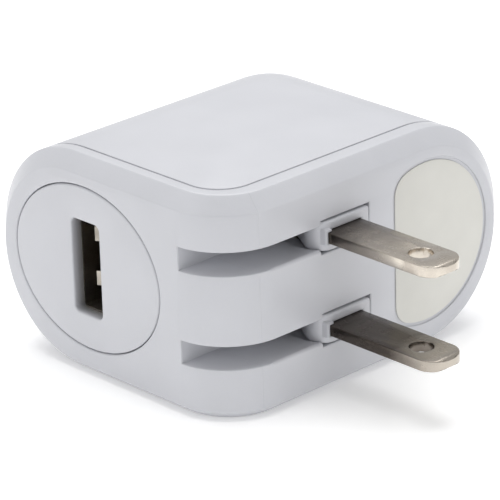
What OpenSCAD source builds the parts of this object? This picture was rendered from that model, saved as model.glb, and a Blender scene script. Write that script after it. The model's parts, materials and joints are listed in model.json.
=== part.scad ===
// USB wall charger with two prongs that fold into its side.
// Origin: on the prong face, midway between the two blades. The prong face looks along -Y,
// the USB face along -X, and +Z is up when the charger lies on its flat underside.

/* [Body] */
// Overall length, along the prong face
body_w = 51; // [48:0.5:62]
// Overall depth, from the prong face to the back
body_d = 44; // [42:0.5:56]
// Overall height
body_h = 30.2; // [29:0.2:38]
// Distance from the blades' middle plane to the USB face
usb_face_off = 20.5; // [20:0.1:23]
// Wall thickness of both shells
wall = 1.8; // [1.4:0.1:2.2]
// Radius of the upright corner between the two faces
corner_r = 8.7; // [6:0.1:10]
// Radius of the upright corner at the back
back_corner_r = 13.5; // [4:0.5:14]
// Height of the bevel band above the faces
bevel_top_h = 2.3; // [1:0.1:3]
// Height of the bevel band below the faces
bevel_bottom_h = 1.3; // [1:0.1:3]
// How far both bands lean back
bevel_back = 1.6; // [0.8:0.1:2.2]

/* [Seam between the shells] */
// Seam's distance behind the USB face
seam_usb = 3.1; // [2.5:0.1:4]
// Seam's distance behind the prong face
seam_prong = 3.8; // [2.5:0.1:4.5]
// Seam's corner radius
seam_r = 5; // [3:0.5:6]
// Width of the groove along the seam
seam_gap = 0.25; // [0.1:0.05:0.4]
// Depth of the groove along the seam
seam_depth = 0.6; // [0.3:0.1:0.9]

/* [Prongs] */
// Distance between the blades' middle planes
blade_pitch = 12.7; // [12.7:0.1:15.3]
// Blade width
blade_w = 6.35; // [5.4:0.05:6.5]
// Blade thickness
blade_t = 1.5; // [1.2:0.05:1.6]
// Distance from the prong face to the blade tip
blade_reach = 18.7; // [16:0.1:20]
// Corner radius at the blade tip
blade_tip_r = 2.6; // [1.5:0.1:2.7]
// Length of the chamfer at the blade tip
blade_tip_l = 0.5; // [0.3:0.1:1.5]
// Depth of the chamfer at the blade tip
blade_tip_t = 0.25; // [0.1:0.05:0.4]
// Diameter of the hole in each blade
blade_hole_d = 3.2; // [2.6:0.1:3.4]
// Distance from the prong face to the hole's centre
blade_hole_y = 13.7; // [12:0.1:14]
// Width of the blade's tail, which meets the contact spring
blade_tail_w = 3; // [2:0.1:3.4]

/* [Folding carrier] */
// Distance of the fold axis from the blades' middle plane, away from the USB face
pivot_x = 0.9; // [0.6:0.1:1.2]
// Depth of the fold axis behind the prong face
pivot_y = 3.7; // [3.6:0.1:4.2]
// Height of each hub
hub_t = 4; // [3.4:0.1:4.8]
// How far a hub's flat front stands out of the prong face
hub_proud = 0.35; // [0.2:0.05:1.2]
// Height of the raised lip round the blade's left edge
collar_h = 0.45; // [0.2:0.05:0.5]
// Radius of the trunnions
trunnion_r = 1.6; // [1.2:0.1:1.9]
// Radial running clearance of the trunnions
trunnion_gap = 0.05; // [0.02:0.01:0.1]
// Clearance round the turning hubs
hub_gap = 0.3; // [0.25:0.05:0.4]
// Height of the grooves that the blades fold into
groove_h = 3.2; // [2.6:0.1:3.6]
// Clearance behind a folded blade
groove_back_gap = 0.3; // [0.2:0.1:0.8]

/* [USB port] */
// Distance from the prong face to the port's centre
port_y = 25.9; // [24.5:0.1:28]
// Width of the opening
port_w = 5.3; // [5.2:0.1:5.6]
// Height of the opening
port_h = 13; // [12.6:0.1:13.4]
// Corner radius of the opening
port_r = 0.8; // [0.4:0.1:1.2]
// Thickness of the plastic in front of the receptacle
port_lip = 1.7; // [0.8:0.1:2]
// Width of the oval insert
oval_w = 27.4; // [22:0.2:28]
// Height of the oval insert
oval_h = 22.4; // [18:0.2:23]
// Gap round the oval insert
oval_gap = 0.12; // [0.08:0.02:0.2]

/* [Receptacle] */
// Outer width of the metal shell, across its short side
shell_w = 5.7; // [5.6:0.1:6]
// Outer height of the metal shell, across its long side
shell_h = 13.1; // [12.9:0.1:13.5]
// Length of the metal shell
shell_l = 14; // [12:0.5:16]
// Sheet thickness of the metal shell
shell_t = 0.3; // [0.2:0.05:0.4]
// Clearance between the shell and the insert's collar
shell_gap = 0.1; // [0.05:0.05:0.2]

/* [Label] */
// Radius of the label's round side
label_r = 11; // [9:0.1:11.4]
// Distance from the blades' middle plane to the label's straight side
label_x = 9.8; // [8.5:0.1:12]
// Corner radius of the label
label_corner_r = 3; // [1:0.5:4]
// Thickness of the label
label_t = 0.15; // [0.1:0.05:0.25]
// Margin between the label and the edge of its recess
label_margin = 0.45; // [0.2:0.05:0.6]

/* [Circuit board] */
// Thickness of the board
board_t = 1.2; // [0.8:0.1:1.6]
// Gap between the board's ends and the casing
board_gap = 0.6; // [0.4:0.1:1]
// Transformer's size along the board
core_w = 13; // [11:0.5:13]
// Transformer's size across the board
core_h = 13; // [11:0.5:14]
// Diameter of the two input capacitors
cap_d = 8; // [6:0.5:8]
// Height of the large input capacitor
cap_l = 12; // [8:0.5:12.5]

/* [Hidden] */
$fn = 64;
eps = 0.01;

// Outer limits of the body
x_usb = -usb_face_off;
x_far = x_usb + body_w;
half_h = body_h / 2;
end_x = x_far - half_h;          // axis of the half-round end beside the label
end_y = body_d - half_h;         // axis of the half-round end beside the port
blade_z = blade_pitch / 2;

// Folding carrier
fold_y = pivot_y + pivot_x;                    // middle line of a folded blade
collar_edge = 0.35;                            // lip's width round the blade
collar_l = 1.1;                                // lip's reach along the blade's width
groove_d = fold_y + blade_w / 2 + collar_edge + groove_back_gap;
trough_wall = 1;
hub_left = pivot_x + blade_w / 2 + 0.95;       // hub's reach towards the grooves
hub_r = pivot_y;                               // flush with the face when folded
hub_corner = 2.2;
swing_r = norm([hub_left - hub_corner, pivot_y + hub_proud - hub_corner]) + hub_corner;
pocket_r = swing_r + hub_gap;
pocket_right = pivot_x + hub_r + 0.4;
pocket_bottom = hub_t / 2 + hub_gap;
pocket_top = hub_t / 2 + hub_gap - 0.05;
core_r = 2.4;
core_flat = 2;
plate_t = 0.9;                                 // plates above and below each pocket
housing_back = groove_d + trough_wall;
tail_end = hub_r + 0.4;                        // tail's reach behind the fold axis
tail_r = norm([blade_tail_w / 2, tail_end]);
arm_low = blade_z + pocket_top + plate_t + 0.1;
arm_t = 1.3;
cradle_t = 1.8;
cradle_left = pivot_x - pocket_r - 1.2;
cradle_right = pivot_x + pocket_r + 1.2;
cradle_half_h = arm_low + arm_t;
rod_way = cradle_half_h + 0.1;                 // end clearance of the trunnions
blade_shank = pivot_y - 1;                     // where the blade narrows to its tail
spring_t = 0.3;
spring_w = 3;
spring_in = tail_r + 0.17;
tang_x = pivot_x + 1.6;
tang_y = housing_back + cradle_t + 1.9;

// Oval insert: it rests on a ledge of the front frame
oval_t = 1;
oval_ledge = 1.2;

// Circuit board: it stands upright behind the receptacle
board_y = port_y + shell_w / 2;
board_back = board_y + board_t;
collar_end = x_usb + wall + 2.2;
board_x0 = collar_end + board_gap;
board_x1 = x_far - wall - board_gap - 1.5;
board_half_h = half_h - wall - board_gap;
shell_x = x_usb + port_lip + 0.05;
shell_end = shell_x + shell_l;
core_x0 = shell_end + 6.3;
core_x1 = core_x0 + core_w;
core_t = 6;
bobbin_t = 12.4;
core_y = board_y - bobbin_t / 2;
row_z = core_h / 2 + 2.1;                       // small parts beside the transformer
lead_r = 0.5;
lead_x = core_x1 + 0.2 + lead_r;
cap_x = lead_x + lead_r + 0.2 + cap_d / 2;
sheet_y = tang_y + 0.6;
pin_r = 0.3;
leg_w = core_w * 0.3;                           // transformer's middle leg
yoke = 2.2;

// Tongue of the receptacle
tongue_t = 1.8;
tongue_h = 11.2;
tongue_y = port_y - shell_w / 2 + shell_t + 0.75;
tongue_x = shell_x + 1;
contact_t = 0.15;

// Half the chord of a circle of radius r at height z
function chord(r, z) = sqrt(max(0, r * r - z * z));

// Section through a casing that is smaller by t all round: a face with its two bevel bands,
// and the half-round end opposite
module section(face, end, t) {
    r = half_h - t;
    x = face + t;
    polygon([[x + bevel_back, -r], [end, -r], [end, r], [x + bevel_back, r],
        [x, r - bevel_top_h], [x, -r + bevel_bottom_h]]);
    translate([end, 0]) circle(r = r);
}

// Cone that carries both bevel bands round a half-round end. It points along +Z, with its
// origin on the face and the end's axis, and the casing's height along X.
module end_cone(t) {
    r = half_h - t;
    rise = (2 * r - bevel_top_h - bevel_bottom_h) * bevel_back / (bevel_top_h + bevel_bottom_h);
    high = r - bevel_top_h - rise * bevel_top_h / bevel_back;
    top = atan(bevel_top_h / bevel_back);
    bottom = atan(bevel_bottom_h / bevel_back);
    long = 2 * rise;
    translate([high, 0, -rise - 2 * eps]) rotate([0, (top - bottom) / 2, 0])
        cylinder(r1 = 0, r2 = long * tan((top + bottom) / 2), h = long);
}

// What the upright corner between the two faces takes off
module front_corner_cut(t) {
    r = corner_r - t;
    h = half_h - t;
    b = bevel_back;
    difference() {
        box([x_usb - 1, -1, -half_h - 1], [x_usb + corner_r, corner_r, half_h + 1]);
        translate([x_usb + corner_r, corner_r, 0])
            rotate_extrude()
                polygon([[0, -h], [r - b, -h], [r, -h + bevel_bottom_h], [r, h - bevel_top_h],
                    [r - b, h], [0, h]]);
    }
}

// What the rounded back corner takes off
module back_corner_cut(t) {
    h = half_h - t;
    in = half_h - back_corner_r;
    difference() {
        box([end_x + in, end_y + in, -half_h - 1], [x_far + 1, body_d + 1, half_h + 1]);
        translate([end_x + in, end_y + in, 0])
            rotate_extrude()
                intersection() {
                    translate([-in, 0]) circle(r = h);
                    translate([0, -h]) square([h, 2 * h]);
                }
    }
}

// Solid casing, smaller by t all round
module envelope(t) {
    far = 3 * bevel_back;
    difference() {
        intersection() {
            translate([x_usb, 0, 0]) rotate([90, 0, 90])
                linear_extrude(body_w) section(0, end_y, t);
            translate([0, body_d, 0]) rotate([90, 0, 0])
                linear_extrude(body_d) section(x_usb, end_x, t);
        }
        front_corner_cut(t);
        back_corner_cut(t);
        difference() {
            box([end_x, t - 1, -half_h - 1], [x_far + 1, t + far, half_h + 1]);
            translate([end_x, t, 0]) rotate([-90, -90, 0]) end_cone(t);
        }
        difference() {
            box([x_usb - 1, end_y, -half_h - 1], [x_usb + t + far, body_d + 1, half_h + 1]);
            translate([x_usb + t, end_y, 0]) rotate([0, 90, 0]) mirror([1, 0, 0]) end_cone(t);
        }
    }
}

module casing_wall() {
    difference() {
        envelope(0);
        envelope(wall);
    }
}

// The space behind the seam, moved back by d
module behind_seam(d = 0) {
    x0 = x_usb + seam_usb + d;
    y0 = seam_prong + d;
    translate([0, 0, -half_h - 1])
        linear_extrude(body_h + 2) {
            translate([x0 + seam_r, y0]) square([body_w, body_d]);
            translate([x0, y0 + seam_r]) square([body_w, body_d]);
            translate([x0 + seam_r, y0 + seam_r]) circle(r = seam_r);
        }
}

module at_blades() {
    for (s = [-1, 1])
        translate([0, 0, s * blade_z]) children();
}

module box(low, high) {
    translate(low) cube(high - low);
}

module pivot_rod(r, low, high) {
    translate([pivot_x, pivot_y, low]) cylinder(r = r, h = high - low);
}

// Pocket that one hub turns in, about the blade's middle plane
module hub_pocket() {
    low = -pocket_bottom;
    high = pocket_top;
    intersection() {
        pivot_rod(pocket_r, low, high);
        box([-body_w, -body_d, low - 1], [pocket_right, body_d, high + 1]);
    }
    pivot_rod(hub_r + hub_gap, low, high);
    intersection() {
        pivot_rod(tail_r + hub_gap, low, high);
        box([-body_w, wall + 0.1, low - 1], [body_w, body_d, high + 1]);
    }
}

module groove() {
    box([x_usb - 1, -1, -groove_h / 2], [pivot_x, groove_d, groove_h / 2]);
}

// Walls that carry one groove and one pocket inside the casing
module groove_walls() {
    side = groove_h / 2 + trough_wall;
    box([x_usb + wall / 2, wall / 2, -side], [pivot_x - hub_r, housing_back, side]);
    box([pivot_x - pocket_r - 1, wall / 2, -pocket_bottom - plate_t],
        [pivot_x + pocket_r + 1, housing_back, pocket_top + plate_t]);
}

// Way in for the hub, its core and its trunnions, from behind
module carrier_way() {
    back = housing_back + 1;
    box([pivot_x - hub_r - 0.1, pivot_y, -pocket_bottom],
        [pivot_x + hub_r + 0.1, back, pocket_top]);
}

module shaft_way() {
    r = core_r + hub_gap;
    pivot_rod(r, -blade_z, blade_z);
    box([pivot_x - r, pivot_y, -blade_z], [pivot_x + r, housing_back + 1, blade_z]);
    slot = trunnion_r + trunnion_gap;
    pivot_rod(slot, -rod_way, rod_way);
    box([pivot_x - slot, pivot_y, -rod_way], [pivot_x + slot, housing_back + 1, rod_way]);
}

module label_outline(grow) {
    r = label_r + grow;
    offset(r = label_corner_r) offset(delta = -label_corner_r)
        intersection() {
            translate([end_x, 0]) circle(r = r);
            translate([label_x - grow, -r]) square(2 * r);
        }
}

// Stands a flat outline up on the prong face, sunk by depth
module on_prong_face(depth, t) {
    translate([0, depth, 0]) rotate([90, 0, 0]) linear_extrude(t) children();
}

module oval(grow, x0, x1) {
    pts = [for (i = [0:95]) let (a = i * 360 / 96)
        [(oval_w / 2 + grow) * cos(a), (oval_h / 2 + grow) * sin(a)]];
    translate([x0, port_y, 0]) rotate([90, 0, 90]) linear_extrude(x1 - x0) polygon(pts);
}

module front_frame() {
    color("white")
    difference() {
        union() {
            difference() {
                casing_wall();
                behind_seam();
            }
            intersection() {
                at_blades() groove_walls();
                envelope(wall / 2);
            }
        }
        at_blades() {
            hub_pocket();
            groove();
            carrier_way();
        }
        shaft_way();
        oval(oval_gap, x_usb - 1, x_usb + oval_t);
        oval(-oval_ledge, x_usb, x_usb + wall + bevel_back + 1);
        on_prong_face(label_t + 0.1, 2) label_outline(label_margin);
    }
}

module board_rail(s) {
    reach = 1.6;
    edge = s * (board_half_h - reach);
    box([board_x0 + 8, board_y - 1.2, min(edge, s * half_h)],
        [end_x, board_back + 1.2, max(edge, s * half_h)]);
}

module rear_shell() {
    color("white")
    difference() {
        union() {
            intersection() {
                casing_wall();
                behind_seam();
            }
            intersection() {
                for (s = [-1, 1]) board_rail(s);
                envelope(wall / 2);
            }
        }
        difference() {
            box([x_usb, 0, -body_h], [x_far, body_d, body_h]);
            behind_seam(seam_gap);
            envelope(seam_depth);
        }
        board_slab(0.05);
    }
}

module round_rect(w, h, r) {
    square([w, h - 2 * r], center = true);
    square([w - 2 * r, h], center = true);
    for (x = [-1, 1], y = [-1, 1])
        translate([x * (w / 2 - r), y * (h / 2 - r)]) circle(r = r);
}

// A bar along X with a rounded section, centred on the port
module port_bar(w, h, r, x0, x1) {
    translate([x0, port_y, 0]) rotate([90, 0, 90]) linear_extrude(x1 - x0) round_rect(w, h, r);
}

module port_bezel() {
    collar_w = shell_w + 2 * shell_gap;
    collar_h = shell_h + 2 * shell_gap;
    color("white")
    difference() {
        union() {
            oval(0, x_usb, x_usb + oval_t);
            port_bar(collar_w + 2, collar_h + 2, 1, x_usb + wall / 2, collar_end);
        }
        port_bar(port_w, port_h, port_r, x_usb - 1, x_usb + port_lip + eps);
        port_bar(collar_w, collar_h, 0.6, x_usb + port_lip, collar_end + 1);
    }
}

// One spring tab on the shell's far wide side. It leans in from its root to a crest, sink deep,
// and its free end flares back towards the wall.
module shell_tab(sink) {
    root = shell_x + 5.2;
    tip = shell_x + 2;
    crest = tip + 0.5;
    y = shell_w / 2 - shell_t - 0.02;
    translate([0, port_y, -1])
        linear_extrude(2)
            polygon([[root, y + 0.1], [root, y - 0.1], [crest, y - sink], [tip, y - 0.15],
                [tip + 0.2, y - 0.08], [crest + 0.12, y - sink + 0.25], [root - 0.6, y + 0.1]]);
}

module usb_shell() {
    tab_z = 3.1;
    color("silver") {
        difference() {
            port_bar(shell_w, shell_h, 0.5, shell_x, shell_end);
            port_bar(shell_w - 2 * shell_t, shell_h - 2 * shell_t, 0.3,
                shell_x - 1, shell_end - shell_t);
        }
        for (z = [-tab_z, tab_z])
            translate([0, 0, z]) {
                shell_tab(0.95);
                translate([0, 2 * port_y, 0]) mirror([0, 1, 0]) shell_tab(0.5);
            }
    }
}

module usb_tongue() {
    clear = 0.05;
    half_w = shell_w / 2 - shell_t - clear;
    half_z = shell_h / 2 - shell_t - clear;
    root = shell_end - shell_t - clear - 2.5;
    color("black") {
        box([tongue_x, tongue_y, -tongue_h / 2], [root + eps, tongue_y + tongue_t, tongue_h / 2]);
        port_bar(2 * half_w, 2 * half_z, shell_t, root, root + 2.5);
    }
}

module usb_contacts() {
    color("gold")
        for (z = [-3.5, -1, 1, 3.5])
            box([tongue_x + 0.6, tongue_y + tongue_t, z - 0.5],
                [shell_end - shell_t - 2.6, tongue_y + tongue_t + contact_t, z + 0.5]);
}

module rating_label() {
    color("ivory") on_prong_face(label_t + 0.1, label_t) label_outline(0);
}

// Hub outline about the fold axis: round back, flat front, and a full nose whose flank runs
// straight into the round back
module hub_outline() {
    front = -pivot_y - hub_proud;
    nose = [hub_corner - hub_left, front + hub_corner];
    lean = atan2(nose.y, nose.x) - acos((hub_r - hub_corner) / norm(nose));
    flank = [cos(lean), sin(lean)];
    circle(r = hub_r);
    translate(nose) circle(r = hub_corner);
    polygon([nose + hub_corner * flank, hub_r * flank, [0, 0], [hub_r, 0], [hub_r, front],
        [nose.x, front], nose]);
}

module hub() {
    front = -hub_proud;
    side = blade_w / 2 + collar_edge;
    high = blade_t / 2 + collar_edge;
    translate([pivot_x, pivot_y, -hub_t / 2]) linear_extrude(hub_t) hub_outline();
    box([-side, front - collar_h, -high], [collar_l - side, front + 1, high]);
}

module blade() {
    half_w = blade_w / 2;
    half_t = blade_t / 2;
    tip = -blade_reach;
    corner = half_w - blade_tip_r;
    difference() {
        intersection() {
            union() {
                box([-half_w, tip + blade_tip_r, -half_t], [half_w, blade_shank, half_t]);
                box([-corner, tip, -half_t], [corner, blade_shank, half_t]);
                for (s = [-1, 1])
                    translate([s * corner, tip + blade_tip_r, -half_t])
                        cylinder(r = blade_tip_r, h = blade_t);
                box([pivot_x - blade_tail_w / 2, blade_shank - eps, -half_t],
                    [pivot_x + blade_tail_w / 2, pivot_y + tail_end, half_t]);
            }
            rotate([90, 0, 90])
                translate([0, 0, -body_w / 2])
                    linear_extrude(body_w)
                        polygon([[tip - eps, -half_t + blade_tip_t], [tip + blade_tip_l, -half_t],
                            [body_d, -half_t], [body_d, half_t],
                            [tip + blade_tip_l, half_t], [tip - eps, half_t - blade_tip_t]]);
        }
        translate([0, -blade_hole_y, -1]) cylinder(d = blade_hole_d, h = 2);
    }
}

module blade_upper() { color("silver") translate([0, 0, blade_z]) blade(); }
module blade_lower() { color("silver") translate([0, 0, -blade_z]) blade(); }

module prong_carrier() {
    inner = blade_z - hub_t / 2;
    outer = blade_z + hub_t / 2;
    color("white")
    difference() {
        union() {
            at_blades() hub();
            intersection() {
                pivot_rod(core_r, -inner - eps, inner + eps);
                translate([pivot_x, pivot_y, 0])
                    cube([2 * core_flat, 2 * core_flat, blade_pitch], center = true);
            }
            pivot_rod(trunnion_r, outer - eps, cradle_half_h);
            pivot_rod(trunnion_r, -cradle_half_h, -outer + eps);
        }
        at_blades() {
            box([-blade_w / 2, -body_d, -blade_t / 2], [blade_w / 2, blade_shank, blade_t / 2]);
            box([pivot_x - blade_tail_w / 2, 0, -blade_t / 2],
                [pivot_x + blade_tail_w / 2, body_d, blade_t / 2]);
        }
    }
}

module carrier_cradle() {
    y0 = housing_back;
    y1 = y0 + cradle_t;
    arm_w = trunnion_r + 1.6;
    color("gainsboro")
    difference() {
        union() {
            box([cradle_left, y0, -cradle_half_h], [cradle_right, y1, cradle_half_h]);
            for (low = [arm_low, -arm_low - arm_t])
                box([pivot_x - arm_w, pivot_y, low], [pivot_x + arm_w, y0 + eps, low + arm_t]);
        }
        pivot_rod(trunnion_r + trunnion_gap, -body_h, body_h);
        at_blades() {
            pivot_rod(pocket_r, -pocket_bottom, pocket_top);
            box([tang_x, y0 - 1, -spring_w / 2], [tang_x + spring_t, y1 + 1, spring_w / 2]);
        }
    }
}

// Leaf that wraps the back of a hub; its tang runs back through the cradle
module contact_spring() {
    a0 = 62;
    a1 = 88;                        // short of the hub's nose when folded
    color("darkgoldenrod") {
        translate([pivot_x, pivot_y, 0])
            rotate([0, 0, a0])
                rotate_extrude(angle = a1 - a0)
                    translate([spring_in, -spring_w / 2]) square([spring_t, spring_w]);
        box([tang_x, pivot_y + chord(spring_in + spring_t / 2, 1.6), -spring_w / 2],
            [tang_x + spring_t, tang_y, spring_w / 2]);
    }
}

module contact_spring_upper() { translate([0, 0, blade_z]) contact_spring(); }
module contact_spring_lower() { translate([0, 0, -blade_z]) contact_spring(); }

// Leaf across the carrier's square core, with its feet on the cradle
module detent_spring() {
    y0 = pivot_y + core_r + 0.15;
    y1 = housing_back;
    leg = core_r + 0.9;
    foot = leg + 1.1;
    half_z = 1.5;
    color("silver") {
        box([pivot_x - leg, y0, -half_z], [pivot_x + leg, y0 + spring_t, half_z]);
        for (s = [-1, 1]) {
            low = pivot_x + min(s * leg, s * (leg - spring_t));
            box([low, y0, -half_z], [low + spring_t, y1, half_z]);
            side = pivot_x + min(s * foot, s * (leg - spring_t));
            box([side, y1 - spring_t, -half_z], [side + foot - leg + spring_t, y1, half_z]);
        }
    }
}

module input_lead() {
    y = tang_y - 0.8;
    color("firebrick") {
        translate([tang_x + spring_t, y, 0]) rotate([0, 90, 0])
            cylinder(r = lead_r, h = lead_x - tang_x - spring_t);
        translate([lead_x, y, 0]) sphere(r = lead_r);
        translate([lead_x, y, 0]) rotate([-90, 0, 0]) cylinder(r = lead_r, h = board_y - y);
    }
}

module input_lead_upper() { translate([0, 0, blade_z]) input_lead(); }
module input_lead_lower() { translate([0, 0, -blade_z]) input_lead(); }

module insulating_sheet() {
    side = board_half_h - 1;
    color("tan") box([cradle_left, sheet_y, -side], [core_x1, sheet_y + 0.25, side]);
}

module board_slab(gap) {
    box([board_x0 - gap, board_y - gap, -board_half_h - gap],
        [end_x, board_back + gap, board_half_h + gap]);
}

module main_board() {
    color("darkgreen")
    intersection() {
        union() {
            board_slab(0);
            translate([end_x, board_y, 0]) rotate([-90, 0, 0])
                cylinder(r = board_half_h, h = board_t);
        }
        box([board_x0, 0, -half_h], [board_x1, body_d, half_h]);
    }
}

module transformer_core() {
    window_w = (core_w - leg_w) / 2 - yoke;
    color("dimgray")
    difference() {
        box([core_x0, core_y - core_t / 2, -core_h / 2], [core_x1, core_y + core_t / 2, core_h / 2]);
        for (x = [core_x0 + yoke, core_x1 - yoke - window_w])
            box([x, core_y - core_t, -core_h / 2 + yoke],
                [x + window_w, core_y + core_t, core_h / 2 - yoke]);
    }
}

// A box round the transformer's middle leg, grown by g, between two heights
module leg_box(gx, gy, low, high) {
    mid = (core_x0 + core_x1) / 2;
    box([mid - leg_w / 2 - gx, core_y - core_t / 2 - gy, low],
        [mid + leg_w / 2 + gx, core_y + core_t / 2 + gy, high]);
}

module transformer_bobbin() {
    fit = 0.05;
    skin = 0.6;
    end = core_h / 2 - yoke - fit;
    reach = (core_w - leg_w) / 2 - yoke - 0.1;
    color("darkslategray")
    difference() {
        union() {
            leg_box(fit + skin, fit + skin, -end, end);
            for (z = [-end, end - skin])
                leg_box(reach, (bobbin_t - core_t) / 2, z, z + skin);
        }
        leg_box(fit, fit, -core_h, core_h);
    }
}

module transformer_winding() {
    skin = 0.65;
    end = core_h / 2 - yoke - 0.7;
    reach = (core_w - leg_w) / 2 - yoke - 0.4;
    color("gold")
    difference() {
        leg_box(reach, (bobbin_t - core_t) / 2 - 0.4, -end, end);
        leg_box(skin, skin, -core_h, core_h);
    }
}

// A can that stands on the board's front side
module can(x, z, r, l) {
    translate([x, board_y, z]) rotate([90, 0, 0]) cylinder(r = r, h = l);
}

module input_capacitor_large() { color("navy") can(cap_x, cap_d / 2 + 0.6, cap_d / 2, cap_l); }
module input_capacitor_small() { color("navy") can(cap_x, -cap_d / 2 - 0.6, cap_d / 2, cap_l - 3); }
module output_capacitor() { color("black") can(shell_end + 3, 8, 2.6, 9); }

module filter_inductor() {
    x = core_x0 + 2.5;
    r = 1.8;
    color("dimgray") {
        can(x, row_z, r, 1);
        can(x, row_z, r - 0.6, 6);
        translate([0, -5, 0]) can(x, row_z, r, 1);
    }
}

// A rod with two bent legs down to the board
module axial_part(x0, x1, z, r, height) {
    y = board_y - height;
    translate([x0, y, z]) rotate([0, 90, 0]) cylinder(r = r, h = x1 - x0);
    for (s = [-1, 1]) {
        x = s < 0 ? x0 - 0.8 : x1 + 0.8;
        from = min(x, s < 0 ? x0 : x1);
        translate([from, y, z]) rotate([0, 90, 0]) cylinder(r = pin_r, h = 0.8);
        translate([x, y, z]) sphere(r = pin_r);
        translate([x, y, z]) rotate([-90, 0, 0]) cylinder(r = pin_r, h = height);
    }
}

module fusible_resistor() {
    color("seagreen") axial_part(core_x0 + 6.2, core_x0 + 11.2, row_z, 1.2, 1.6);
}

// A moulded chip on the board's back side, with n legs on each long side
module chip(x, z, w, h, t, n) {
    y = board_back;
    box([x - w / 2, y + 0.1, z - h / 2], [x + w / 2, y + t, z + h / 2]);
    step = w / n;
    for (i = [0:n - 1], s = [-1, 1]) {
        cx = x - w / 2 + step * (i + 0.5);
        side = z + s * h / 2;
        leg = side + s * 0.8;
        box([cx - 0.2, y, min(side - s * 0.1, leg)], [cx + 0.2, y + 0.3, max(side - s * 0.1, leg)]);
    }
}

module bridge_rectifier() { color("black") chip(cap_x, 0, 4.8, 3.9, 1.6, 2); }
module controller_chip() { color("black") chip(core_x0 + 5, -4, 4.9, 3.9, 1.6, 4); }
module output_diode() { color("black") chip(shell_end - 3, 5, 2.4, 4.4, 2, 1); }

module optocoupler() {
    x = shell_end + 3;
    z = -7;
    color("black") {
        box([x - 2.2, board_y - 4, z - 3.1], [x + 2.2, board_y - 0.4, z + 3.1]);
        for (a = [-1, 1], b = [-1, 1])
            box([x + a * 1.27 - 0.25, board_y - 0.5, z + b * 2.8 - 0.15],
                [x + a * 1.27 + 0.25, board_y, z + b * 2.8 + 0.15]);
    }
}

module y_capacitor() {
    x = core_x0 + core_w / 2;
    z = -row_z;
    r = 3.4;
    color("royalblue") {
        translate([x, board_y - r - 1.2, z - 1.1]) cylinder(r = r, h = 2.2);
        for (s = [-1, 1])
            translate([x + s * 2, board_y - r, z]) rotate([-90, 0, 0]) cylinder(r = pin_r, h = r);
    }
}

module chip_resistors() {
    color("black")
        for (i = [0:5])
            let (x = shell_end + 2 + 2.4 * i)
                box([x, board_back, 6], [x + 0.9, board_back + 0.45, 7.6]);
}

front_frame();
rear_shell();
port_bezel();
rating_label();
prong_carrier();
blade_upper();
blade_lower();
carrier_cradle();
contact_spring_upper();
contact_spring_lower();
detent_spring();
input_lead_upper();
input_lead_lower();
insulating_sheet();
main_board();
usb_shell();
usb_tongue();
usb_contacts();
transformer_core();
transformer_bobbin();
transformer_winding();
input_capacitor_large();
input_capacitor_small();
output_capacitor();
filter_inductor();
fusible_resistor();
bridge_rectifier();
controller_chip();
optocoupler();
y_capacitor();
output_diode();
chip_resistors();
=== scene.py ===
import json
import math
import bmesh
import bpy
from mathutils import Matrix, Vector


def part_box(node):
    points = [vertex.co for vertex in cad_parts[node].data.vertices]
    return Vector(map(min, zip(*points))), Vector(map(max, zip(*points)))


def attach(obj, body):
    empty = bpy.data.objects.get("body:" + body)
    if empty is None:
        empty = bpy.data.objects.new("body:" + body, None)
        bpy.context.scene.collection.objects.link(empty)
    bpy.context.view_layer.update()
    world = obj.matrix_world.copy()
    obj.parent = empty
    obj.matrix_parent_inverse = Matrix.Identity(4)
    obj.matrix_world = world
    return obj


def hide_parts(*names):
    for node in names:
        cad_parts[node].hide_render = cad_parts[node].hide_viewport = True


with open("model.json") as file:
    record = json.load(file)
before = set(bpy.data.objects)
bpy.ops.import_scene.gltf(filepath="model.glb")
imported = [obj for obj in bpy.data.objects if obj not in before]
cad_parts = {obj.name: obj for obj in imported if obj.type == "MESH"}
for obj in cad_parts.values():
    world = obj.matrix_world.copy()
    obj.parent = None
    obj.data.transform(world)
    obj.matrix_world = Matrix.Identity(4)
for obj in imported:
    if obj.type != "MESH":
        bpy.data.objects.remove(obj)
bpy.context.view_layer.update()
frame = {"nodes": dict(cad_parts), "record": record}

mm = 0.001
nodes = frame["nodes"]
print("frame loaded:", len(nodes), "nodes")


def hexToLinear(code):
    # sRGB hex to the linear colour that a shader wants
    parts = [int(code[i:i + 2], 16) / 255 for i in (1, 3, 5)]
    return [c / 12.92 if c <= 0.04045 else ((c + 0.055) / 1.055) ** 2.4 for c in parts] + [1.0]


def addNode(tree, kind, settings=None, links=None):
    # settings are sockets' values by name or number, or the node's own properties;
    # links name the source of each linked socket
    node = tree.nodes.new(kind)
    for key, value in (settings or {}).items():
        if isinstance(key, int) or key in node.inputs:
            node.inputs[key].default_value = value
        else:
            setattr(node, key, value)
    for key, source in (links or {}).items():
        tree.links.new(source, node.inputs[key])
    return node


def newMaterial(name, shader):
    # an empty material with one Principled shader, and the object's own coordinates
    mat = bpy.data.materials.new(name)
    mat.use_nodes = True
    tree = mat.node_tree
    tree.nodes.clear()
    surface = addNode(tree, "ShaderNodeBsdfPrincipled", shader)
    addNode(tree, "ShaderNodeOutputMaterial", links={"Surface": surface.outputs["BSDF"]})
    place = addNode(tree, "ShaderNodeTexCoord").outputs["Object"]
    return mat, tree, surface, place


def noiseAt(tree, place, sizeMm, stretch=(1, 1, 1), detail=3, rough=0.5):
    # noise whose lumps are sizeMm across, longer along an axis whose stretch is above 1
    turn = addNode(tree, "ShaderNodeMapping", {"Scale": [1 / s for s in stretch]}, {"Vector": place})
    return addNode(tree, "ShaderNodeTexNoise",
                   {"Scale": 1 / (sizeMm * mm), "Detail": detail, "Roughness": rough},
                   {"Vector": turn.outputs["Vector"]}).outputs["Fac"]


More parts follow.
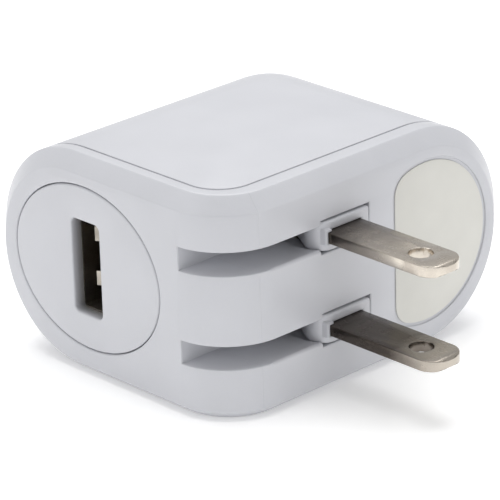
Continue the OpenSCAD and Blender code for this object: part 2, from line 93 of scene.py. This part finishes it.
def spread(tree, value, low, high, fromLow=0.3, fromHigh=0.7):
    # low to high, as a value goes from fromLow to fromHigh
    return addNode(tree, "ShaderNodeMapRange",
                   {1: fromLow, 2: fromHigh, 3: low, 4: high}, {0: value}).outputs["Result"]


def gloss(tree, value, look, *fromRange):
    # roughness that follows a texture, off by the look's sway at either end
    low, high = (look["rough"] + off for off in look["sway"])
    return spread(tree, value, low, high, *fromRange)


def tint(tree, fac, dark, light):
    # a colour between two, by a value from 0 to 1
    return addNode(tree, "ShaderNodeMix",
                   {"data_type": "RGBA", 6: hexToLinear(dark), 7: hexToLinear(light)},
                   {0: fac}).outputs[2]


def addScaled(tree, value, share, other):
    # share of one texture on top of another
    return addNode(tree, "ShaderNodeMath", {"operation": "MULTIPLY_ADD", 1: share},
                   {0: value, 2: other}).outputs["Value"]


def bump(tree, height, shape, under=None):
    # shape is the depth in mm and the strength
    depth, strength = shape
    links = {"Height": height}
    if under:
        links["Normal"] = under
    return addNode(tree, "ShaderNodeBump", {"Strength": strength, "Distance": depth * mm},
                   links).outputs["Normal"]


def dress(tree, surface, color, rough, normal):
    tree.links.new(color, surface.inputs["Base Color"])
    tree.links.new(rough, surface.inputs["Roughness"])
    tree.links.new(normal, surface.inputs["Normal"])


# sizes and depths of the looks are in mm
casingLook = {"light": "#cacbd0", "dark": "#c6c7cc", "tones": (0.45, 0.9), "rough": 0.34,
              "sway": (-0.05, 0.07), "glow": 0.08, "glowDepth": 0.6,
              "cloud": 9, "speck": 0.35, "speckShare": 0.35,
              "wave": 7, "waveBump": (0.008, 0.5), "grain": 0.22, "grainBump": (0.004, 0.6)}
partLine = {"x": -14.2, "edge": (0.02, 0.09), "bump": (0.04, 0.6)}


def mouldedAbs(name, look):
    # ABS casing, injection moulded in a polished mould: satin, a faint slow waviness and a very
    # fine grain, which is drawn coarser than the real one
    mat, tree, surface, place = newMaterial(name, {
        "Roughness": look["rough"], "IOR": 1.53, "Specular IOR Level": 0.5,
        "Subsurface Weight": look["glow"], "Subsurface Radius": (0.9, 0.85, 0.8),
        "Subsurface Scale": look["glowDepth"] * mm})
    cloud = noiseAt(tree, place, look["cloud"], detail=2)
    speck = noiseAt(tree, place, look["speck"], detail=4, rough=0.65)
    fac = spread(tree, addScaled(tree, speck, look["speckShare"], cloud), 0, 1, *look["tones"])
    normal = bump(tree, noiseAt(tree, place, look["wave"], detail=1), look["waveBump"])
    if "partLine" in look:  # hairline where the mould's two halves meet
        line = look["partLine"]
        across = addNode(tree, "ShaderNodeSeparateXYZ", {}, {"Vector": place}).outputs["X"]
        off = addNode(tree, "ShaderNodeMath", {"operation": "SUBTRACT", 1: line["x"] * mm},
                      {0: across}).outputs["Value"]
        away = addNode(tree, "ShaderNodeMath", {"operation": "ABSOLUTE"}, {0: off}).outputs["Value"]
        step = spread(tree, away, 0, 1, *(edge * mm for edge in line["edge"]))
        normal = bump(tree, step, line["bump"], normal)
    normal = bump(tree, noiseAt(tree, place, look["grain"]), look["grainBump"], normal)
    dress(tree, surface, tint(tree, fac, look["dark"], look["light"]), gloss(tree, speck, look), normal)
    return mat


labelLook = {"light": "#dad9d3", "dark": "#d6d5cf", "rough": 0.62, "sway": (-0.06, 0.08),
             "cloud": 5, "tooth": 0.18, "toothBump": (0.006, 0.7)}


def labelFilm(name, look):
    # matt polyester label, die cut: warmer and duller than the casing, with a faint paper-like tooth
    mat, tree, surface, place = newMaterial(name, {"IOR": 1.5, "Roughness": look["rough"]})
    tooth = noiseAt(tree, place, look["tooth"], detail=5, rough=0.7)
    cloud = noiseAt(tree, place, look["cloud"], detail=2)
    color = tint(tree, spread(tree, cloud, 0, 1), look["dark"], look["light"])
    dress(tree, surface, color, gloss(tree, tooth, look), bump(tree, tooth, look["toothBump"]))
    return mat


metalLook = {"cloud": 2.6, "lineShare": 0.5, "tones": (0.5, 1.0), "sway": (0.1, -0.06),
             "scratchCell": 1.7, "scratchEdge": (0.0, 0.02), "scratchBump": (0.002, 0.25)}
steelLook = dict(metalLook, light="#bdb7ad", dark="#958f86", rough=0.34,
                 line=0.12, along=(14, 1, 1), lineBump=(0.003, 0.3))
goldLook = dict(metalLook, light="#e2bd72", dark="#c39a4c", rough=0.28,
                line=0.08, along=(10, 1, 1), lineBump=(0.003, 0.25))
# painted dark reflection of the shaded hub on the blades: all of it from y = full towards the body, none
# past y = none; its edge wanders
bladeLook = dict(metalLook, light="#dcd4c8", dark="#bdb4a9", rough=0.22,
                 line=0.09, along=(1, 22, 1), lineBump=(0.003, 0.35),
                 paintedDarkReflection={"color": "#625b54", "full": -1, "none": -12, "wander": 6})
# the lower blade: more of its length darkened by painted dark reflection
lowerBladeLook = dict(bladeLook, paintedDarkReflection={"color": "#57504a", "full": -11, "none": -21, "wander": 6})


def platedMetal(name, look):
    # plated strip: fine lines along the rolling direction, cloudy sheen, a few handling marks
    mat, tree, surface, place = newMaterial(name, {"Metallic": 1.0, "Roughness": look["rough"]})
    lines = noiseAt(tree, place, look["line"], look["along"], detail=4, rough=0.7)
    cloud = noiseAt(tree, place, look["cloud"])
    shade = addScaled(tree, lines, look["lineShare"], cloud)
    color = tint(tree, spread(tree, shade, 0, 1, *look["tones"]), look["dark"], look["light"])
    if "paintedDarkReflection" in look:  # painted dark reflection: darker towards the root, none towards the tip
        paintedDarkReflection = look["paintedDarkReflection"]
        along = addNode(tree, "ShaderNodeSeparateXYZ", {}, {"Vector": place}).outputs["Y"]
        near = addScaled(tree, cloud, paintedDarkReflection["wander"] * mm, along)
        edges = ((paintedDarkReflection[end] + paintedDarkReflection["wander"] / 2) * mm for end in ("none", "full"))
        color = addNode(tree, "ShaderNodeMix", {"data_type": "RGBA", 7: hexToLinear(paintedDarkReflection["color"])},
                        {0: spread(tree, near, 0, 1, *edges), 6: color}).outputs[2]
    scratch = addNode(tree, "ShaderNodeTexVoronoi",
                      {"feature": "DISTANCE_TO_EDGE", "Scale": 1 / (look["scratchCell"] * mm)},
                      {"Vector": place}).outputs["Distance"]
    fine = bump(tree, lines, look["lineBump"])
    marks = bump(tree, spread(tree, scratch, 0, 1, *look["scratchEdge"]), look["scratchBump"], fine)
    dress(tree, surface, color, gloss(tree, shade, look, *look["tones"]), marks)
    return mat


innerLook = {"sway": (-0.05, 0.08), "along": (1, 1, 1), "strength": 0.6}
innerLooks = {
    "inner_plastic": {"light": "#dcdcd6", "dark": "#cfcfc8", "rough": 0.5, "grain": 0.4, "depth": 0.006},
    "wire_sleeve": {"light": "#9c2019", "dark": "#7c150f", "rough": 0.42, "grain": 0.5, "depth": 0.005},
    "barrier_sheet": {"light": "#d9c48a", "dark": "#c9b274", "rough": 0.45, "grain": 0.6, "depth": 0.003},
    "board": {"light": "#2c6b3d", "dark": "#1f5430", "rough": 0.35, "grain": 0.5, "depth": 0.006,
              "along": (1, 1, 6)},
    "dark_plastic": {"light": "#241b18", "dark": "#18110f", "rough": 0.45, "grain": 0.25, "depth": 0.006},
    "ferrite": {"light": "#3c3c3f", "dark": "#27272a", "rough": 0.6, "grain": 0.15, "depth": 0.012},
    "winding_tape": {"light": "#dcb43a", "dark": "#c89c25", "rough": 0.3, "grain": 0.8, "depth": 0.01,
                     "along": (1, 1, 8)},
    "can_sleeve": {"light": "#1d2948", "dark": "#141d36", "rough": 0.28, "grain": 0.9, "depth": 0.006,
                   "along": (1, 5, 1)},
    "lacquer": {"light": "#2f74a0", "dark": "#205a80", "rough": 0.22, "grain": 0.7, "depth": 0.012},
}


def plainMoulding(name, look):
    # small moulded, dipped or sintered parts inside: two tones, a grain and its own gloss
    mat, tree, surface, place = newMaterial(name, {"Roughness": look["rough"]})
    grain = noiseAt(tree, place, look["grain"], look["along"], detail=4, rough=0.65)
    color = tint(tree, spread(tree, grain, 0, 1), look["dark"], look["light"])
    dress(tree, surface, color, gloss(tree, grain, look),
          bump(tree, grain, (look["depth"], look["strength"])))
    return mat


finishes = {
    "casing": mouldedAbs("moulded_abs_white", casingLook),
    "label": labelFilm("label_film_matt", labelLook),
    "blades": platedMetal("nickel_plated_brass", bladeLook),
    "sheet_steel": platedMetal("tinned_steel_sheet", steelLook),
    "spring_brass": platedMetal("gold_flashed_bronze", goldLook),
}
for slotName, look in innerLooks.items():
    finishes[slotName] = plainMoulding("inside_" + slotName, dict(innerLook, **look))
# two parts have a finish of their own: the frame shows its parting line, the lower blade's painted dark
# reflection reaches further towards its tip
ownFinish = {
    "front_frame": mouldedAbs("moulded_abs_parting_line", dict(casingLook, partLine=partLine)),
    "blade_lower": platedMetal("nickel_plated_brass_painted_shade", lowerBladeLook),
}
print("finishes made:", len(finishes) + len(ownFinish))


# every part of the frame gets its slot's finish
slotOf = {row["node"]: row["material_slot"] for row in frame["record"]["subparts"]}
for nodeName, obj in nodes.items():
    obj.data.materials.clear()
    obj.data.materials.append(finishes[slotOf[nodeName]])


def startEdit(obj):
    bpy.ops.object.select_all(action="DESELECT")
    obj.select_set(True)
    bpy.context.view_layer.objects.active = obj


# points closer than merge (mm) and faces within flat of each other (degrees) become one; a hollow
# corner is rounded by its share of the width; smooth is the angle for the parts left as they are
meshCare = {"merge": 0.002, "flat": 0.4, "hollow": 0.3, "smooth": 30}


def copyOf(nodeName, pieceName, flatten):
    # a merged copy of a CAD part, to be finished with softened edges
    piece = nodes[nodeName].copy()
    piece.data = nodes[nodeName].data.copy()
    piece.name = pieceName
    piece.data.name = pieceName
    piece.parent = None
    for key in list(piece.keys()):
        del piece[key]
    bpy.context.scene.collection.objects.link(piece)
    startEdit(piece)
    bpy.ops.object.mode_set(mode="EDIT")
    bpy.ops.mesh.select_all(action="SELECT")
    bpy.ops.mesh.remove_doubles(threshold=meshCare["merge"] * mm)
    if flatten:
        bpy.ops.mesh.dissolve_limited(angle_limit=math.radians(meshCare["flat"]))
    bpy.ops.object.mode_set(mode="OBJECT")
    return piece


lipLook = {"grooveHeight": 3.2, "grooveLip": 0.45, "ovalLip": 0.25, "ovalGap": 0.12,
           "steps": 5, "angle": 40, "slack": 0.03, "ovalSlack": 0.005}
bladeLow, bladeHigh = (Vector(corner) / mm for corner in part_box("blade_upper"))
portLow, portHigh = (Vector(corner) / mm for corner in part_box("port_bezel"))
bladeZ = (bladeLow.z + bladeHigh.z) / 2


def onGrooveLip(x, y, z):
    # the lower lip of either groove, at the prong face
    below = lipLook["grooveHeight"] / 2
    off = min(abs(z - bladeZ + below), abs(z + bladeZ + below))
    return abs(y) < lipLook["slack"] and off < lipLook["slack"]


def onOvalLip(x, y, z):
    # the rim of the oval opening in the frame
    halfY = (portHigh.y - portLow.y) / 2 + lipLook["ovalGap"]
    halfZ = (portHigh.z - portLow.z) / 2 + lipLook["ovalGap"]
    midY = (portHigh.y + portLow.y) / 2
    midZ = (portHigh.z + portLow.z) / 2
    out = math.hypot((y - midY) / halfY, (z - midZ) / halfZ)
    return abs(x - portLow.x) < lipLook["slack"] and abs(out - 1) < lipLook["ovalSlack"]


def roundLip(piece, width, wanted):
    # a wider rounding along the edges whose two ends are both wanted
    startEdit(piece)
    bpy.ops.object.mode_set(mode="EDIT")
    bpy.ops.mesh.select_mode(type="EDGE")
    bpy.ops.mesh.select_all(action="DESELECT")
    shape = bmesh.from_edit_mesh(piece.data)
    least = math.radians(lipLook["angle"])
    count = 0
    for edge in shape.edges:
        if all(wanted(*(vert.co / mm)) for vert in edge.verts) and edge.calc_face_angle(0) > least:
            edge.select_set(True)
            count += 1
    bmesh.update_edit_mesh(piece.data)
    bpy.ops.mesh.bevel(offset=width * mm, segments=lipLook["steps"], affect="EDGES",
                       clamp_overlap=False)
    bpy.ops.object.mode_set(mode="OBJECT")
    print(piece.name, "lip edges rounded:", count)


def softenEdges(piece, edgeLook, frontX=None):
    # rounds every edge sharper than the look's angle, or only those in the plane x = frontX,
    # and hollow corners by a share of that
    startEdit(piece)
    bpy.ops.object.mode_set(mode="EDIT")
    shape = bmesh.from_edit_mesh(piece.data)
    weights = shape.edges.layers.float
    weight = weights.get("bevel_weight_edge") or weights.new("bevel_weight_edge")
    for edge in shape.edges:
        sharp = edge.calc_face_angle(0) > math.radians(edgeLook["angle"])
        if frontX is not None:
            behind = max(abs(vert.co.x / mm - frontX) for vert in edge.verts)
            sharp = sharp and behind <= lipLook["slack"]
        edge[weight] = (1.0 if edge.is_convex else meshCare["hollow"]) if sharp else 0.0
    bmesh.update_edit_mesh(piece.data)
    bpy.ops.object.mode_set(mode="OBJECT")
    mod = piece.modifiers.new("softEdges", "BEVEL")
    mod.width = edgeLook["width"] * mm
    mod.segments = edgeLook["steps"]
    mod.limit_method = "WEIGHT"
    mod.use_clamp_overlap = False
    bpy.ops.object.modifier_apply(modifier=mod.name)
    bpy.ops.object.shade_smooth_by_angle(angle=math.radians(edgeLook["angle"]))


def standFor(piece, nodeName, body):
    slotName = slotOf[nodeName]
    piece.data.materials.clear()
    piece.data.materials.append(ownFinish.get(nodeName, finishes[slotName]))
    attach(piece, body)
    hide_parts(nodeName)
    print(piece.name, "stands for", nodeName, len(piece.data.polygons), "faces")


edgeLooks = {
    "front_frame": {"piece": "frame_moulding", "width": 0.16, "steps": 3, "angle": 24, "body": "housing"},
    "rear_shell": {"piece": "rear_moulding", "width": 0.10, "steps": 2, "angle": 24, "body": "housing"},
    "port_bezel": {"piece": "port_insert", "width": 0.26, "steps": 4, "angle": 30, "body": "housing"},
    "rating_label": {"piece": "blank_label", "width": 0.04, "steps": 2, "angle": 40, "body": "housing"},
    "prong_carrier": {"piece": "prong_hub", "width": 0.28, "steps": 4, "angle": 30, "body": "prongs"},
    "blade_upper": {"piece": "contact_blade_upper", "width": 0.14, "steps": 3, "angle": 24,
                    "body": "prongs"},
    "blade_lower": {"piece": "contact_blade_lower", "width": 0.14, "steps": 3, "angle": 24,
                    "body": "prongs"},
    "usb_tongue": {"piece": "receptacle_tongue", "width": 0.10, "steps": 2, "angle": 30,
                   "body": "housing"},
    "usb_contacts": {"piece": "receptacle_contacts", "width": 0.04, "steps": 2, "angle": 30,
                     "body": "housing"},
}
flatNodes = ("front_frame", "rear_shell", "prong_carrier")  # flats made one face
for nodeName, edgeLook in edgeLooks.items():
    piece = copyOf(nodeName, edgeLook["piece"], nodeName in flatNodes)
    if nodeName == "front_frame":
        roundLip(piece, lipLook["ovalLip"], onOvalLip)
        roundLip(piece, lipLook["grooveLip"], onGrooveLip)
    softenEdges(piece, edgeLook, portLow.x if nodeName == "port_bezel" else None)
    standFor(piece, nodeName, edgeLook["body"])

for nodeName, obj in nodes.items():  # the rest stay as they are, smoothed where they are round
    if nodeName not in edgeLooks:
        startEdit(obj)
        bpy.ops.object.shade_smooth_by_angle(angle=math.radians(meshCare["smooth"]))
print("pieces finished")


stageLook = {"floorZ": -15.1, "size": 2400, "floor": "#ffffff", "shade": "#fdfdfd", "cloud": 60,
             "rough": 0.9, "gloss": 0.1, "glow": 0.18}


def makeFloor(look):
    # a wide sheet of white paper that glows a little, so that only the closest shadow shows
    bpy.ops.object.select_all(action="DESELECT")
    bpy.ops.mesh.primitive_plane_add(size=look["size"] * mm, location=(0, 0, look["floorZ"] * mm))
    floor = bpy.context.object
    floor.name = "studio_floor"
    mat, tree, surface, place = newMaterial("studio_paper", {
        "Roughness": look["rough"], "Specular IOR Level": look["gloss"],
        "Emission Color": hexToLinear(look["floor"]), "Emission Strength": look["glow"]})
    cloud = noiseAt(tree, place, look["cloud"], detail=1)
    tree.links.new(tint(tree, cloud, look["shade"], look["floor"]), surface.inputs["Base Color"])
    floor.data.materials.append(mat)


makeFloor(stageLook)


lampLooks = {
    "softbox_top": {"spot": (60, 100, 460), "aim": (5, 20, 0), "size": (460, 460), "power": 1.95},
    "softbox_left": {"spot": (-460, 120, 160), "aim": (0, 20, 0), "size": (220, 300), "power": 0.26},
    "softbox_front": {"spot": (160, -470, 150), "aim": (0, 0, 0), "size": (320, 300), "power": 0.30},
}


def makeLamp(name, look):
    data = bpy.data.lights.new(name, "AREA")
    data.shape = "RECTANGLE"
    data.size, data.size_y = (side * mm for side in look["size"])
    data.energy = look["power"]
    lamp = bpy.data.objects.new(name, data)
    bpy.context.scene.collection.objects.link(lamp)
    spot = Vector(look["spot"])
    lamp.location = spot * mm
    lamp.rotation_euler = (Vector(look["aim"]) - spot).to_track_quat("-Z", "Y").to_euler()


for name, look in lampLooks.items():
    makeLamp(name, look)


airLook = {"color": "#ffffff", "strength": 0.52}

world = bpy.data.worlds.new("studio_air")
bpy.context.scene.world = world
world.use_nodes = True
air = world.node_tree.nodes["Background"]
air.inputs["Color"].default_value = hexToLinear(airLook["color"])
air.inputs["Strength"].default_value = airLook["strength"]
bpy.context.scene.view_settings.view_transform = "Standard"


cameraLook = {"azimuth": -43.34, "elevation": 22.62, "roll": 1.68, "lens": 252.3, "sensor": 36,
              "nearest": 10, "spot": (-289.158, -289.421, 174.358)}


def makeCamera(look):
    az, el, roll = (math.radians(look[k]) for k in ("azimuth", "elevation", "roll"))
    back = Vector((math.sin(az) * math.cos(el), -math.cos(az) * math.cos(el), math.sin(el)))
    right = (-back).cross(Vector((0, 0, 1))).normalized()
    down = (-back).cross(right)
    side = right * math.cos(roll) + down * math.sin(roll)
    low = down * math.cos(roll) - right * math.sin(roll)
    turn = Matrix((side, -low, back)).transposed().to_4x4()
    data = bpy.data.cameras.new("product_view")
    data.lens = look["lens"]
    data.sensor_width = look["sensor"]
    data.clip_start = look["nearest"] * mm
    camera = bpy.data.objects.new("product_view", data)
    bpy.context.scene.collection.objects.link(camera)
    camera.matrix_world = Matrix.Translation(Vector(look["spot"]) * mm) @ turn
    bpy.context.scene.camera = camera


makeCamera(cameraLook)
print("stage, light and camera ready")

bpy.context.view_layer.update()
